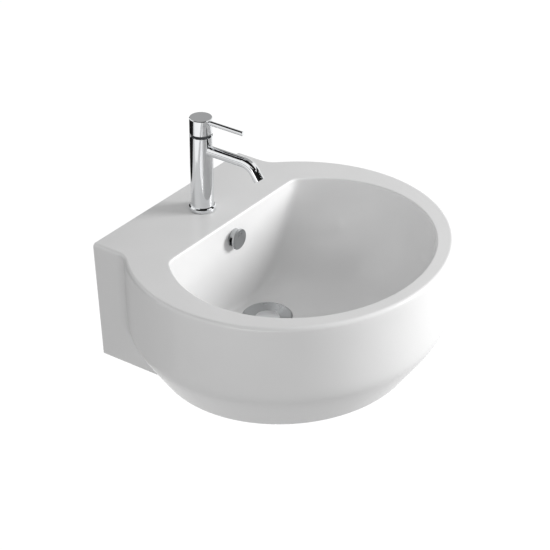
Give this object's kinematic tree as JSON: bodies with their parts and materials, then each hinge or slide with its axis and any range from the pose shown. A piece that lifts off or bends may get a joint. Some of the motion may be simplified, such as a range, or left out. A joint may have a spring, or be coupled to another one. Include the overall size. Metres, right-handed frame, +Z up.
{
  "type": "semi recessed basin",
  "caption": "Semi recessed ceramic basin: a round bowl in front of a square rear block, with a slim single lever mixer tap, round overflow trim and push button waste.",
  "frame": {"origin": "on the wall face, midway between the two wall fixing holes", "axes": "+Z up, +X to the right seen from the front, +Y into the wall, so the bowl stands out towards -Y"},
  "size_m": [0.4998, 0.4519, 0.3821],
  "materials": {
    "white_glaze": "gloss white glaze",
    "chrome": "polished chrome plate",
    "brass": "turned brass",
    "steel": "zinc plated or stainless steel",
    "rubber": "black rubber",
    "nylon": "moulded natural nylon",
    "black_plastic": "moulded dark plastic"
  },
  "bodies": {
    "basin_and_fittings": {"basin": "white_glaze", "fixing_sleeves": "nylon", "foot_seal": "rubber", "tap_foot": "chrome", "tap_body": "chrome", "spout": "chrome", "aerator_housing": "chrome", "aerator_insert": "black_plastic", "cartridge_body": "black_plastic", "cartridge_nut": "black_plastic", "clamp_gasket": "rubber", "clamp_plate": "steel", "clamp_stud": "steel", "clamp_nut": "brass", "overflow_body": "chrome", "overflow_cap": "chrome", "waste_seal": "rubber", "waste_body": "chrome", "lower_gasket": "rubber", "slip_washer": "nylon", "back_nut": "chrome", "click_unit": "black_plastic"},
    "turret": {"cartridge_turret": "nylon", "stem_pivot_pin": "steel"},
    "handle": {"handle_cap": "chrome", "lever_pin": "chrome", "cartridge_stem": "brass", "handle_grub_screw": "steel"},
    "plug": {"plug": "chrome", "plug_seal": "rubber"}
  },
  "joints": [
    {"name": "handle_swivel", "type": "hinge", "parent": "basin_and_fittings", "child": "turret", "pos_m": [0, -0.0623, 0.2288], "axis": [0, 0, 1], "range_deg": [-45, 45]},
    {"name": "handle_lift", "type": "hinge", "parent": "turret", "child": "handle", "pos_m": [0, -0.0623, 0.2288], "axis": [-1, 0, 0], "range_deg": [0, 13]},
    {"name": "plug_rise", "type": "slide", "parent": "basin_and_fittings", "child": "plug", "axis": [0, 0, 1], "range_m": [0, 0.008]}
  ]
}
